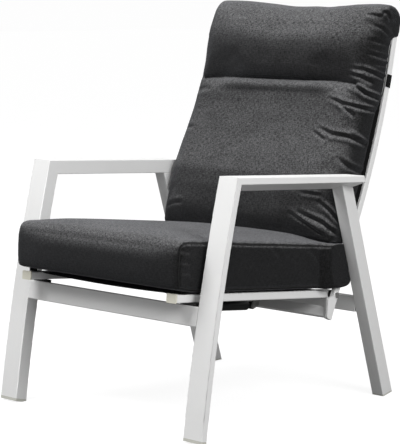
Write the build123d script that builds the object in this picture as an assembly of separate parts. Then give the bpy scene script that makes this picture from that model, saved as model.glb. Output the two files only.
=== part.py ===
from build123d import *
import math
import os

# Reclining garden armchair, in millimetres.
# X to the sitter's left, -Y to the front, Z up, origin on the floor under the middle of the chair.
# Places in the side view are (y, z) pairs, y measured from the front legs' front face at the floor.

# stance of the chair
foot_line_y = -417.66
inner_half_width = 303.0
arm_height = 630.0
front_leg_reach = 126.6
front_leg_bow = 9.9
arm_fall_deg = 3.5
rear_foot_y = 731.0
rear_leg_lean_deg = 17.33
cut_overrun = 60.0

# wedge shaped aluminium profile of legs and armrests
profile_width = 62.0
profile_deep = 38.0
profile_thin = 17.0
profile_wall = 2.0
profile_edge = 2.0
foot_cap_height = 4.0
foot_land_depth = 16.0
foot_sole_deg = 13.0
arm_cap_thickness = 2.5

# cross tubes of the fixed frame
front_tube_height = 49.0
front_tube_depth = 28.0
front_tube_middle_z = 297.0
rear_tube_height = 40.0
rear_tube_depth = 25.0
rear_tube_middle_z = 253.0
rear_tube_setback = 4.0
cross_tube_edge = 3.0
cross_tube_wall = 2.0
buffer_x = 192.0
buffer_radius = 5.0
buffer_length = 4.0
buffer_rise = 9.0

# back frame
pivot_y = 640.0
pivot_z = 415.0
post_side_gap = 5.0
post_width = 15.0
post_depth = 18.0
post_edge = 3.0
post_wall = 1.8
post_lean_deg = 24.0
post_top_lean_deg = 12.5
post_bend_radius = 2100.0
post_tail = 208.0
post_straight = 93.0
post_top_straight = 98.0
post_plug_thickness = 2.5
tail_plate_thickness = 6.0
tail_plate_top_y = 549.0
tail_plate_top_z = 281.0
tail_plate_low_y = 544.5
tail_plate_low_z = 229.0
tail_plate_round = 6.0
back_tube_height = 28.0
back_tube_depth = 18.0
lower_tube_above_tail = 17.0
top_tube_below_top = 20.0
back_sling_thickness = 2.0
back_sling_above_pivot = 16.0
back_sling_top_gap = 2.0

# bolts and spacers of the back's pivot and of the seat's hinge
hinge_below_pivot = 141.0
pivot_bolt_radius = 5.0
pivot_head_radius = 9.0
pivot_head_height = 4.0
pivot_bolt_bite = 20.0
hinge_bolt_radius = 4.0
hinge_head_radius = 7.0
hinge_head_height = 3.0
hinge_nut_radius = 7.5
hinge_nut_height = 5.0
spacer_radius = 10.0
running_fit = 0.05
side_play = 0.3

# seat frame
rail_side_gap = 7.0
rail_width = 30.0
rail_height = 20.0
rail_edge = 3.0
rail_wall = 2.0
rail_fall_deg = 5.57
rail_front_y = 9.0
rail_behind_hinge = 11.0
rail_cap_thickness = 4.0
rail_cap_lip = 2.5
rail_plug_length = 14.0
rail_plug_play = 0.1
seat_bar_depth = 20.0
seat_bar_height = 10.0
seat_bar_y = 330.0
seat_bar_wall = 1.5
seat_bar_edge = 2.0
seat_sling_thickness = 2.0
seat_sling_sag = 5.0
seat_sling_front_y = 48.5
seat_sling_rear_y = 555.0
seat_sling_drop = 1.0

# glides on the front cross tube, under the seat rails
glide_y = 68.4
glide_inner_reach = 10.0
glide_outer_reach = 29.0
glide_length = 26.0
glide_crown_radius = 60.0
glide_gap = 0.9

# gas spring and its brackets
spring_x = 47.0
spring_rear_y = 532.0
spring_rear_z = 236.0
spring_front_y = 112.0
spring_front_z = 280.0
spring_body_radius = 13.5
spring_body_start = 22.0
spring_body_length = 245.0
spring_neck_radius = 5.0
spring_rod_radius = 5.0
spring_rod_engaged = 92.0
spring_bore_depth = 175.0
spring_body_round = 2.0
spring_eye_radius = 11.0
spring_eye_width = 10.0
spring_pin_radius = 4.0
spring_pin_head_radius = 6.0
spring_pin_head = 2.0
release_eye_radius = 17.0
release_eye_hole = 10.4
release_eye_width = 12.0
release_collar_radius = 9.0
release_collar_length = 22.0
bracket_cheek = 3.0
bracket_cheek_gap = 1.0
bracket_base = 3.0
bracket_nose = 9.0
bracket_base_height = 24.0
front_bracket_base_height = 34.0

# seat cushion
seat_side_gap = 13.0
cushion_edge_draw = 13.0
cushion_seat_gap = 1.0
seat_front_low_y = 1.0
seat_front_low_z = 374.0
seat_front_nose_y = -9.0
seat_front_nose_z = 432.0
seat_front_top_y = 12.0
seat_front_top_z = 481.0
seat_top_break_y = 330.0
seat_top_break_z = 452.0
seat_top_rear_z = 414.0
seat_bottom_front_y = 60.0
seat_bottom_rear_y = 574.0
seat_crown = 16.0
seat_edge_drop = 7.0
seat_rear_gap = 3.0
seat_strap_front_y = 28.0
seat_strap_foot = 16.0
seat_strap_inset = 1.0
strap_thickness = 1.5
strap_gap = 0.2

# back cushion with its head section
back_side_gap = 6.0
back_rear_gap = 0.6
back_bottom_front_y = 548.0
back_bottom_front_z = 440.0
back_bottom_rear_z = 437.0
back_belly_y = 606.0
back_belly_z = 640.0
crease_y = 702.0
crease_z = 829.0
head_belly_y = 722.0
head_belly_z = 925.0
head_crown_gain = 3.4
head_sag_gain = 1.3
head_top_front_y = 746.0
head_top_front_z = 1026.0
head_top_y = 800.0
head_top_z = 1044.5
hood_top_y = 845.0
hood_top_z = 1022.0
hood_hem_z = 950.0
hood_thickness = 8.0
hood_pocket_gap = 1.0
hood_bulge = 3.0
back_crown = 10.0
back_edge_drop = 8.0
back_strap_height = 34.0
back_strap_rise = 355.0

# how the crown of a cushion runs out to its side seams
crown_station_shares = [-1, -0.93, -0.8, -0.6, -0.35, 0, 0.35, 0.6, 0.8, 0.93, 1]
crown_seam_share = 0.35
crown_rim_share = 0.2

profile_slope = math.atan2(profile_deep - profile_thin, profile_width)
arm_fall = math.radians(arm_fall_deg)
rear_lean = math.radians(rear_leg_lean_deg)
post_lean = math.radians(post_lean_deg)
post_top_lean = math.radians(post_top_lean_deg)
rail_fall = math.radians(rail_fall_deg)
post_outer_x = inner_half_width - post_side_gap
post_middle_x = post_outer_x - post_width / 2
post_inner_x = post_outer_x - post_width
rail_outer_x = post_inner_x - rail_side_gap
rail_middle_x = rail_outer_x - rail_width / 2
rail_inner_x = rail_outer_x - rail_width
glide_inner_x = rail_middle_x - glide_inner_reach
glide_outer_x = rail_middle_x + glide_outer_reach
cushion_half_width = inner_half_width - seat_side_gap
back_half_width = inner_half_width - back_side_gap
arm_along = (math.cos(arm_fall), -math.sin(arm_fall))
rear_leg_up = (-math.sin(rear_lean), math.cos(rear_lean))
rear_leg_back = (math.cos(rear_lean), math.sin(rear_lean))
post_up = (math.sin(post_lean), math.cos(post_lean))
post_back = (math.cos(post_lean), -math.sin(post_lean))
rail_back = (math.cos(rail_fall), -math.sin(rail_fall))
rail_up = (math.sin(rail_fall), math.cos(rail_fall))
pivot = (pivot_y, pivot_z)
sole_up = (math.sin(math.radians(foot_sole_deg)), math.cos(math.radians(foot_sole_deg)))
spring_rear = (spring_rear_y, spring_rear_z)
spring_front = (spring_front_y, spring_front_z)


def side(place, x=0.0):
    """The point at a (y, z) place of the side view."""
    return Vector(x, foot_line_y + place[0], place[1])


def way(direction):
    """A (y, z) direction of the side view as a vector."""
    return Vector(0, direction[0], direction[1])


def step(place, direction, distance):
    """A (y, z) place moved along a direction."""
    return (place[0] + direction[0] * distance, place[1] + direction[1] * distance)


def unit(direction):
    """A (y, z) direction made one long."""
    size = math.hypot(direction[0], direction[1])
    return (direction[0] / size, direction[1] / size)


def keep_side(shape, point, normal):
    """What lies on the side of a plane that its normal points to."""
    return split(shape, bisect_by=Plane(origin=point, z_dir=normal), keep=Keep.TOP)


def both_sides(shape):
    """The left piece and its mirror image on the right, as one group."""
    return Compound([shape.solid(), mirror(shape.solid(), about=Plane.YZ).solid()])


def x_rod(place, radius, start_x, end_x):
    """A round bar across the chair."""
    plane = Plane(origin=side(place, start_x), x_dir=(0, 1, 0), z_dir=(1, 0, 0))
    return extrude(plane * Circle(radius), end_x - start_x)


def rectangle_tube(width, height, edge, wall):
    """The section of a rectangular tube."""
    outer = RectangleRounded(width, height, edge)
    inner = RectangleRounded(width - wall - wall, height - wall - wall, edge - wall / 2)
    return outer - inner


hinge = step(pivot, post_up, -hinge_below_pivot)


# wedge profile: the wide face lies on the local X axis, the deep side at its start
def wedge_section():
    corners = [
        (0, 0),
        (profile_width, 0),
        (profile_width, profile_thin),
        (0, profile_deep),
    ]
    outline = make_face(Polyline(*corners, close=True))
    return fillet(outline.vertices(), profile_edge)


def wedge_hollow():
    bore = offset(wedge_section(), amount=-profile_wall)
    return bore


def wedge_bar(place, along, across, length, hollow):
    """A straight length of the profile, laid along a direction of the side view."""
    plane = Plane(origin=place, x_dir=across, z_dir=along)
    bar = extrude(plane * wedge_section(), length)
    if hollow:
        bar -= extrude(plane * wedge_hollow(), length)
    return bar


# front leg: the profile bent to a gentle bow, convex to the front
def leg_arc():
    """Centre and radius of the front leg's front face, and the directions at its middle."""
    chord = math.hypot(front_leg_reach, arm_height)
    radius = (chord * chord / 4 + front_leg_bow * front_leg_bow) / (2 * front_leg_bow)
    up = (front_leg_reach / chord, arm_height / chord)
    back = (up[1], -up[0])
    middle = (front_leg_reach / 2, arm_height / 2)
    bow_point = step(middle, back, -front_leg_bow)
    centre = step(bow_point, back, radius)
    half_turn = math.asin(chord / 2 / radius)
    return centre, radius, up, back, bow_point, half_turn


def leg_front_y(z):
    """Where the front leg's front face stands at a height."""
    centre, radius, up, back, bow_point, half_turn = leg_arc()
    rise = z - centre[1]
    return centre[0] - math.sqrt(radius * radius - rise * rise)


def leg_lean(z):
    """Lean of the front leg's front face at a height."""
    centre, radius, up, back, bow_point, half_turn = leg_arc()
    return math.asin((centre[1] - z) / radius) * -1


def leg_blank(section):
    centre, radius, up, back, bow_point, half_turn = leg_arc()
    plane = Plane(origin=side(bow_point, inner_half_width), x_dir=(1, 0, 0), z_dir=way(up))
    axis = Axis(side(centre), (1, 0, 0))
    spare_turn = math.degrees(half_turn) + math.degrees(cut_overrun / radius)
    start = (plane * section).rotate(axis, spare_turn)
    return revolve(start, axis, -2 * spare_turn)


def mitre_line():
    """Corner of leg and armrest, and the direction of the mitre from it."""
    corner = (front_leg_reach, arm_height)
    centre, radius, up, back, bow_point, half_turn = leg_arc()
    radial = unit((centre[0] - corner[0], centre[1] - corner[1]))
    leg_down = (radial[1], -radial[0])
    mitre = unit((leg_down[0] + arm_along[0], leg_down[1] + arm_along[1]))
    return corner, mitre


def front_leg(with_bore):
    corner, mitre = mitre_line()
    leg = leg_blank(wedge_section())
    if with_bore:
        leg -= leg_blank(wedge_hollow())
    leg = keep_side(leg, side(corner), way((mitre[1], -mitre[0])))
    return leg


def foot_rear_y():
    """Rear corner of the front foot on the floor."""
    return leg_front_y(0) + profile_deep / math.cos(leg_lean(0))


def front_leg_left():
    return keep_side(front_leg(True), side((foot_rear_y(), foot_cap_height)), way(sole_up))


def front_foot_cap():
    """Cap with a sole that stands on its rear edge and rises to the front, as the leg is cut."""
    block = keep_side(front_leg(False), Vector(0, 0, 0), (0, 0, 1))
    block = keep_side(block, side((foot_rear_y() - foot_land_depth, 0)), way(sole_up))
    down = (-sole_up[0], -sole_up[1])
    return keep_side(block, side((foot_rear_y(), foot_cap_height)), way(down))


# armrest: wide face up, cut to the mitre in front and along the rear leg behind
def arm_rear_place(back_off):
    """Place on the rear cut of the armrest, which runs on in the rear leg's rear edge."""
    rear_edge = profile_width / math.cos(rear_lean)
    return (rear_foot_y + rear_edge - back_off, 0)


def arm_bar(hollow):
    corner, mitre = mitre_line()
    start = step(corner, arm_along, -cut_overrun)
    reach = rear_foot_y - front_leg_reach + cut_overrun
    point = side(start, inner_half_width)
    return wedge_bar(point, way(arm_along), (1, 0, 0), reach, hollow)


def armrest_left():
    corner, mitre = mitre_line()
    arm = keep_side(arm_bar(True), side(corner), way((-mitre[1], mitre[0])))
    rear = arm_rear_place(arm_cap_thickness)
    return keep_side(arm, side(rear), way((-rear_leg_back[0], -rear_leg_back[1])))


def armrest_end_cap():
    near = arm_rear_place(arm_cap_thickness)
    far = arm_rear_place(0)
    block = keep_side(arm_bar(False), side(near), way(rear_leg_back))
    return keep_side(block, side(far), way((-rear_leg_back[0], -rear_leg_back[1])))


# rear leg: wide face inward, deep side to the front, up to the armrest's sloping underside
def rear_leg_bar(hollow):
    foot = (rear_foot_y, 0)
    top = step(foot, rear_leg_up, arm_height + cut_overrun)
    length = arm_height + cut_overrun + cut_overrun
    down = (-rear_leg_up[0], -rear_leg_up[1])
    point = side(top, inner_half_width)
    return wedge_bar(point, way(down), way(rear_leg_back), length, hollow)


def arm_underside():
    """A point and the normal of the armrest's sloping underside."""
    corner = (front_leg_reach, arm_height)
    down = (-math.sin(arm_fall), -math.cos(arm_fall))
    point = side(step(corner, down, profile_deep), inner_half_width)
    across = Vector(math.cos(profile_slope), 0, 0) - way(down) * math.sin(profile_slope)
    normal = way(arm_along).cross(across)
    return point, normal


def rear_leg_left():
    point, normal = arm_underside()
    downward = normal if normal.Z < 0 else normal * -1
    leg = keep_side(rear_leg_bar(True), point, downward)
    leg -= x_rod(pivot, pivot_bolt_radius, inner_half_width, inner_half_width + pivot_bolt_bite)
    return keep_side(leg, Vector(0, 0, foot_cap_height), (0, 0, 1))


def rear_foot_cap():
    block = keep_side(rear_leg_bar(False), Vector(0, 0, 0), (0, 0, 1))
    return keep_side(block, Vector(0, 0, foot_cap_height), (0, 0, -1))


# cross tubes of the fixed frame
def front_tube_plane(x):
    """Middle of the front tube's section, local X to the rear, local Y up along the leg."""
    lean = leg_lean(front_tube_middle_z)
    face = (leg_front_y(front_tube_middle_z), front_tube_middle_z)
    back = (math.cos(lean), -math.sin(lean))
    middle = step(face, back, front_tube_depth / 2)
    return Plane(origin=side(middle, x), x_dir=way(back), z_dir=(1, 0, 0))


def front_cross_tube():
    section = rectangle_tube(front_tube_depth, front_tube_height, cross_tube_edge, cross_tube_wall)
    return extrude(front_tube_plane(-inner_half_width) * section, inner_half_width * 2)


def rear_tube_front_y():
    rise = rear_tube_middle_z - rear_tube_height / 2
    return rear_foot_y - rise * math.tan(rear_lean) + rear_tube_setback - rear_tube_height / 4


def rear_cross_tube():
    middle = (rear_tube_front_y() + rear_tube_depth / 2, rear_tube_middle_z)
    plane = Plane(origin=side(middle, -inner_half_width), x_dir=(0, 1, 0), z_dir=(1, 0, 0))
    section = rectangle_tube(rear_tube_depth, rear_tube_height, cross_tube_edge, cross_tube_wall)
    return extrude(plane * section, inner_half_width * 2)


def rear_tube_buffer():
    place = (rear_tube_front_y(), rear_tube_middle_z + buffer_rise)
    plane = Plane(origin=side(place, buffer_x), x_dir=(1, 0, 0), z_dir=(0, -1, 0))
    knob = extrude(plane * Circle(buffer_radius), buffer_length)
    return fillet(knob.edges().sort_by(Axis.Y)[0], buffer_length / 4)


def seat_glide():
    """Low domed block on the front tube; the rail rests over its crown."""
    tube = front_tube_plane(glide_inner_x)
    over_rail = rail_bottom_z(glide_y) - glide_gap
    crown = step((glide_y, over_rail), rail_up, -glide_crown_radius)
    plane = Plane(origin=side(crown, glide_inner_x), x_dir=(0, 1, 0), z_dir=(1, 0, 0))
    dome = extrude(plane * Circle(glide_crown_radius), glide_outer_x - glide_inner_x)
    room = Rectangle(glide_length, front_tube_height, align=(Align.CENTER, Align.MIN))
    block = extrude(tube * Pos(0, front_tube_height / 2) * room, glide_outer_x - glide_inner_x)
    return dome & block


# back frame: two bent posts, each a straight run, a bend and a straight top
def post_tail_place():
    return step(pivot, post_up, -post_tail)


def bend_centre():
    start = step(pivot, post_up, post_straight)
    return step(start, post_back, -post_bend_radius)


def post_top_start():
    """Place and direction where the bend ends."""
    out = (math.cos(post_top_lean), -math.sin(post_top_lean))
    up = (math.sin(post_top_lean), math.cos(post_top_lean))
    return step(bend_centre(), out, post_bend_radius), up, out


def post_top_place(below_top):
    start, up, out = post_top_start()
    return step(start, up, post_top_straight - below_top)


def post_run(section, tail_gap, top_gap):
    """A section carried along the posts' line, from the tail to the top."""
    first = step(pivot, post_up, tail_gap - post_tail)
    low_plane = Plane(origin=side(first), x_dir=(1, 0, 0), z_dir=way(post_up))
    low = extrude(low_plane * section, post_tail + post_straight - tail_gap)
    bend_start = step(pivot, post_up, post_straight)
    bend_plane = Plane(origin=side(bend_start), x_dir=(1, 0, 0), z_dir=way(post_up))
    axis = Axis(side(bend_centre()), (1, 0, 0))
    bend = revolve(bend_plane * section, axis, post_lean_deg - post_top_lean_deg)
    start, up, out = post_top_start()
    top_plane = Plane(origin=side(start), x_dir=(1, 0, 0), z_dir=way(up))
    top = extrude(top_plane * section, post_top_straight - top_gap)
    return low + bend + top


def tail_plate():
    """Gusset in front of the post's tail, flush with its outer side."""
    corners = [
        (tail_plate_low_y, tail_plate_low_z),
        step(pivot, post_up, post_plug_thickness - post_tail),
        hinge,
        (tail_plate_top_y, tail_plate_top_z),
    ]
    view = Plane(origin=side((0, 0), post_outer_x - tail_plate_thickness), x_dir=(0, 1, 0), z_dir=(1, 0, 0))
    outline = make_face(Polyline(*corners, close=True))
    front = outline.vertices().sort_by(Axis.X)[0:2]
    plate = extrude(view * fillet(front, tail_plate_round), tail_plate_thickness)
    tube = Pos(post_middle_x, 0) * RectangleRounded(post_width, post_depth, post_edge)
    return plate - post_run(tube, 0, 0)


def back_post_left():
    section = rectangle_tube(post_width, post_depth, post_edge, post_wall)
    post = post_run(Pos(post_middle_x, 0) * section, post_plug_thickness, post_plug_thickness)
    post += tail_plate()
    post -= x_rod(pivot, pivot_bolt_radius + running_fit, post_inner_x - cut_overrun, inner_half_width)
    post -= x_rod(hinge, hinge_bolt_radius, post_inner_x - cut_overrun, inner_half_width)
    return post


def post_plug(place, up):
    plane = Plane(origin=side(place, post_middle_x), x_dir=(1, 0, 0), z_dir=way(up))
    return extrude(plane * RectangleRounded(post_width, post_depth, post_edge), post_plug_thickness)


def post_plugs():
    start, up, out = post_top_start()
    low = post_plug(post_tail_place(), post_up)
    high = post_plug(post_top_place(post_plug_thickness), up)
    plugs = [low.solid(), high.solid()]
    plugs += [mirror(plug, about=Plane.YZ).solid() for plug in plugs]
    return Compound(plugs)


def back_tube(place, up):
    start = side(place, -post_inner_x)
    out = (up[1], -up[0])
    plane = Plane(origin=start, x_dir=way(out), z_dir=(1, 0, 0))
    section = rectangle_tube(back_tube_depth, back_tube_height, post_edge, post_wall)
    return extrude(plane * section, post_inner_x * 2)


def back_lower_tube():
    return back_tube(lower_tube_place(), post_up)


def lower_tube_place():
    return step(post_tail_place(), post_up, lower_tube_above_tail)


def back_top_tube():
    start, up, out = post_top_start()
    return back_tube(post_top_place(top_tube_below_top), up)


def back_sling():
    """Flat sling between the posts, from above the pivot to under the top tube."""
    section = Rectangle(post_inner_x * 2, back_sling_thickness)
    low = post_tail + back_sling_above_pivot
    high = top_tube_below_top + back_tube_height / 2 + back_sling_top_gap
    return post_run(section, low, high)


# pivots: the back swings on bolts in the rear legs, the seat on bolts in the posts
def pivot_bolt():
    thread_end = inner_half_width + pivot_bolt_bite
    head_end = post_inner_x - side_play
    shaft = x_rod(pivot, pivot_bolt_radius, head_end, thread_end)
    return shaft + x_rod(pivot, pivot_head_radius, head_end - pivot_head_height, head_end)


def pivot_spacer():
    start = post_outer_x + side_play
    ring = x_rod(pivot, spacer_radius, start, inner_half_width)
    return ring - x_rod(pivot, pivot_bolt_radius, start, inner_half_width)


def hinge_bolt():
    inner_end = rail_inner_x - side_play - hinge_nut_height
    shaft = x_rod(hinge, hinge_bolt_radius, inner_end, post_outer_x)
    return shaft + x_rod(hinge, hinge_head_radius, post_outer_x, post_outer_x + hinge_head_height)


def hinge_nut():
    end = rail_inner_x - side_play
    plane = Plane(origin=side(hinge, end - hinge_nut_height), x_dir=(0, 1, 0), z_dir=(1, 0, 0))
    nut = extrude(plane * RegularPolygon(hinge_nut_radius, 6), hinge_nut_height)
    return nut - x_rod(hinge, hinge_bolt_radius, end - hinge_nut_height, end)


def hinge_spacer():
    start = rail_outer_x + side_play
    ring = x_rod(hinge, spacer_radius, start, post_inner_x)
    return ring - x_rod(hinge, hinge_bolt_radius, start, post_inner_x)


# seat frame: straight rails that lie along the line through the hinge
def rail_place(y, rise):
    """Place on the rail's middle line at a depth y, moved square to it."""
    along = (y - hinge[0]) / rail_back[0]
    return step(step(hinge, rail_back, along), rail_up, rise)


def rail_bottom_z(y):
    return rail_place(y, 0)[1] - rail_height / 2 / math.cos(rail_fall)


def rail_top_z(y):
    return rail_place(y, 0)[1] + rail_height / 2 / math.cos(rail_fall)


def rail_plane(y, rise, x):
    return Plane(origin=side(rail_place(y, rise), x), x_dir=(1, 0, 0), z_dir=way(rail_back))


def rail_length():
    return (hinge[0] - rail_front_y) / rail_back[0] + rail_behind_hinge


def seat_rail_left():
    section = rectangle_tube(rail_width, rail_height, rail_edge, rail_wall)
    rail = extrude(rail_plane(rail_front_y, 0, rail_middle_x) * section, rail_length())
    rail -= x_rod(hinge, hinge_bolt_radius + running_fit, rail_inner_x, rail_outer_x)
    return rail


def rail_plug():
    width = rail_width - rail_wall - rail_wall - rail_plug_play
    height = rail_height - rail_wall - rail_wall - rail_plug_play
    return RectangleRounded(width, height, rail_edge - rail_wall / 2)


def rail_front_cap():
    plane = rail_plane(rail_front_y, 0, rail_middle_x)
    face = RectangleRounded(rail_width + rail_cap_lip, rail_height + rail_cap_lip, rail_edge)
    cap = extrude(plane * face, -rail_cap_thickness)
    cap += extrude(plane * rail_plug(), rail_plug_length)
    return cap


def rail_rear_cap():
    start = rail_plane(rail_front_y, 0, rail_middle_x)
    plane = start.offset(rail_length())
    face = RectangleRounded(rail_width, rail_height, rail_edge)
    return extrude(plane * face, rail_cap_lip)


def seat_cross_bar():
    low = rail_height / -2 + seat_bar_height / 2
    plane = Plane(
        origin=side(rail_place(seat_bar_y, low), -rail_inner_x),
        x_dir=way(rail_back),
        z_dir=(1, 0, 0),
    )
    section = rectangle_tube(seat_bar_depth, seat_bar_height, seat_bar_edge, seat_bar_wall)
    return extrude(plane * section, rail_inner_x * 2)


def seat_sling():
    """Sling hung between the rails' inner faces, with a little sag."""
    edge = rail_height / 2 - seat_sling_drop
    low = edge - seat_sling_thickness
    upper = ThreePointArc((-rail_inner_x, edge), (0, edge - seat_sling_sag), (rail_inner_x, edge))
    lower = ThreePointArc((-rail_inner_x, low), (0, low - seat_sling_sag), (rail_inner_x, low))
    left = Line(upper @ 1, lower @ 1)
    right = Line(upper @ 0, lower @ 0)
    section = make_face([upper, lower, left, right])
    plane = Plane(
        origin=side(rail_place(seat_sling_front_y, 0)),
        x_dir=(-1, 0, 0),
        z_dir=way(rail_back),
    )
    length = (seat_sling_rear_y - seat_sling_front_y) / rail_back[0]
    return extrude(plane * section, length)


# gas spring between the front tube and the back frame's lower tube
def spring_line():
    reach = math.hypot(spring_front_y - spring_rear_y, spring_front_z - spring_rear_z)
    along = unit((spring_front_y - spring_rear_y, spring_front_z - spring_rear_z))
    return reach, along


def spring_plane(distance):
    reach, along = spring_line()
    place = step(spring_rear, along, distance)
    return Plane(origin=side(place, spring_x), x_dir=(1, 0, 0), z_dir=way(along))


def spring_cylinder():
    start = spring_plane(spring_body_start)
    body = extrude(start * Circle(spring_body_radius), spring_body_length)
    body = fillet(body.edges(), spring_body_round)
    body += extrude(spring_plane(0) * Circle(spring_neck_radius), spring_body_start)
    eye_start = spring_x - spring_eye_width / 2
    eye_end = spring_x + spring_eye_width / 2
    body += x_rod(spring_rear, spring_eye_radius, eye_start, eye_end)
    hole_start = spring_x - spring_neck_radius
    hole_end = spring_x + spring_neck_radius
    body -= x_rod(spring_rear, spring_pin_radius + running_fit, hole_start, hole_end)
    mouth = spring_plane(spring_body_start + spring_body_length)
    body -= extrude(mouth * Circle(spring_rod_radius + running_fit), -spring_bore_depth)
    return body


def spring_rod():
    reach, along = spring_line()
    start = spring_body_start + spring_body_length - spring_rod_engaged
    end = reach - release_eye_radius - release_collar_length
    return extrude(spring_plane(start) * Circle(spring_rod_radius), end - start)


def release_head():
    """Collar and eye on the rod's end; the eye is wide, so that its pin has room."""
    reach, along = spring_line()
    start = reach - release_eye_radius - release_collar_length
    eye_start = spring_x - release_eye_width / 2
    eye_end = spring_x + release_eye_width / 2
    side_cut = release_collar_radius + release_collar_radius
    slab = Rectangle(release_eye_width, side_cut)
    neck_start = reach - release_eye_radius
    flat = extrude(spring_plane(neck_start) * slab, release_eye_radius)
    head = extrude(spring_plane(start) * Circle(release_collar_radius), release_collar_length)
    head += flat
    head += x_rod(spring_front, release_eye_radius, eye_start, eye_end)
    return head - x_rod(spring_front, release_eye_hole, eye_start, eye_end)


def bracket(pin, eye_width, face_point, face_out, base_height):
    """A U bracket: a base plate on a tube's face and two cheeks that reach to the pin."""
    face_up = (-face_out[1], face_out[0])
    half_room = eye_width / 2 + bracket_cheek_gap
    width = (half_room + bracket_cheek) * 2
    plane = Plane(origin=side(face_point, spring_x), x_dir=(1, 0, 0), z_dir=way(face_out))
    plate = extrude(plane * Rectangle(width, base_height), bracket_base)
    low = step(face_point, face_up, base_height / -2)
    high = step(face_point, face_up, base_height / 2)
    view = Plane(origin=side((0, 0)), x_dir=(0, 1, 0), z_dir=(1, 0, 0))
    nose = Pos(pin[0], pin[1]) * Circle(bracket_nose)
    root_low = step(low, face_out, bracket_base)
    root_high = step(high, face_out, bracket_base)
    root = Polyline(low, root_low, root_high, high, close=True)
    cheek = make_hull(nose.edges() + root.edges())
    cheeks = []
    for start in (-half_room - bracket_cheek, half_room):
        plate += Pos(spring_x + start, 0, 0) * extrude(view * cheek, bracket_cheek)
    outer = half_room + bracket_cheek
    return plate - x_rod(pin, spring_pin_radius, spring_x - outer, spring_x + outer)


def bracket_pin(pin, eye_width):
    outer = eye_width / 2 + bracket_cheek_gap + bracket_cheek
    body = x_rod(pin, spring_pin_radius, spring_x - outer, spring_x + outer)
    head = outer + spring_pin_head
    body += x_rod(pin, spring_pin_head_radius, spring_x + outer, spring_x + head)
    body += x_rod(pin, spring_pin_head_radius, spring_x - head, spring_x - outer)
    return body


def spring_rear_bracket():
    out = (-post_back[0], -post_back[1])
    face = step(lower_tube_place(), out, back_tube_depth / 2)
    return bracket(spring_rear, spring_eye_width, face, out, bracket_base_height)


def spring_front_bracket():
    lean = leg_lean(front_tube_middle_z)
    out = (math.cos(lean), -math.sin(lean))
    front = (leg_front_y(front_tube_middle_z), front_tube_middle_z)
    face = step(front, out, front_tube_depth)
    height = front_bracket_base_height
    return bracket(spring_front, release_eye_width, face, out, height)


# cushions: outlines of the side view, lofted across the chair
def outline_face(x, places, bulges):
    """A face at x from corner places; a bulge place bends its side into an arc."""
    edges = []
    count = len(places)
    for index in range(count):
        first = side(places[index], x)
        last = side(places[(index + 1) % count], x)
        if bulges[index] is None:
            edges.append(Line(first, last))
        else:
            edges.append(ThreePointArc(first, side(bulges[index], x), last))
    return make_face(edges)


def between(first, last, push):
    """Place halfway between two, moved square to their line."""
    way_along = unit((last[0] - first[0], last[1] - first[1]))
    out = (way_along[1], -way_along[0])
    middle = ((first[0] + last[0]) / 2, (first[1] + last[1]) / 2)
    return step(middle, out, push)


def post_front_y(z, gap):
    """The posts' front face at a height within their lower straight run."""
    middle = pivot_y + (z - pivot_z) * math.tan(post_lean)
    return middle - (post_depth / 2 + gap) / math.cos(post_lean)


def seat_outline(x, crown, drop):
    low_front = (seat_front_low_y + drop, seat_front_low_z + drop)
    top_front = (seat_front_top_y + drop, seat_front_top_z - drop + crown / 2)
    top_break = (seat_top_break_y, seat_top_break_z - drop + crown)
    rear_z = seat_top_rear_z - drop
    top_rear = (post_front_y(rear_z, seat_rear_gap + drop), rear_z)
    floor_rear = rail_top_z(seat_bottom_rear_y) + cushion_seat_gap + drop
    low_rear = (post_front_y(floor_rear, seat_rear_gap + drop), floor_rear)
    floor_front = rail_top_z(seat_bottom_front_y) + cushion_seat_gap + drop
    low_bend = (seat_bottom_front_y, floor_front)
    nose = (seat_front_nose_y + drop, seat_front_nose_z)
    places = [low_front, top_front, top_break, top_rear, low_rear, low_bend]
    bulges = [
        nose,
        between(top_front, top_break, -crown / 3),
        between(top_break, top_rear, -crown / 3),
        None,
        None,
        None,
    ]
    return outline_face(x, places, bulges)


def lofted(outline, half_width, edge_draw, crown, edge_drop):
    """Loft across the chair: full in the middle, drawn in at the two side seams."""
    inner = half_width - edge_draw
    faces = [outline(-half_width, crown * crown_rim_share, edge_drop)]
    for share in crown_station_shares:
        rise = crown * (1 - share * share * (1 - crown_seam_share))
        faces.append(outline(inner * share, rise, 0))
    faces.append(outline(half_width, crown * crown_rim_share, edge_drop))
    return loft(faces, ruled=True)


def seat_cushion():
    return lofted(seat_outline, cushion_half_width, cushion_edge_draw, seat_crown, seat_edge_drop)


def strap_loop(inner_width, inner_height):
    """The section of a flat strap laid round a bar."""
    thick = strap_thickness
    room = RectangleRounded(inner_width, inner_height, rail_edge)
    band = RectangleRounded(inner_width + thick * 2, inner_height + thick * 2, rail_edge + thick)
    return band - room


def seat_underside_z(y):
    """Height of the seat cushion's underside where it rises to the front."""
    rest_z = rail_top_z(seat_bottom_front_y) + cushion_seat_gap
    share = (seat_bottom_front_y - y) / (seat_bottom_front_y - seat_front_low_y)
    return rest_z + (seat_front_low_z - rest_z) * share


def seat_strap():
    """A strap that comes down from the cushion and lies on the rail."""
    near_y = seat_strap_front_y
    far_y = near_y + strap_thickness
    end_y = near_y + seat_strap_foot
    corners = [
        (near_y, rail_top_z(near_y) + strap_gap),
        (end_y, rail_top_z(end_y) + strap_gap),
        (end_y, rail_top_z(end_y) + strap_gap + strap_thickness),
        (far_y, rail_top_z(far_y) + strap_gap + strap_thickness),
        (far_y, seat_underside_z(far_y) - strap_gap),
        (near_y, seat_underside_z(far_y) - strap_gap),
    ]
    start_x = rail_inner_x + seat_strap_inset
    view = Plane(origin=side((0, 0), start_x), x_dir=(0, 1, 0), z_dir=(1, 0, 0))
    outline = make_face(Polyline(*corners, close=True))
    return extrude(view * outline, rail_width - seat_strap_inset * 2)


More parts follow.
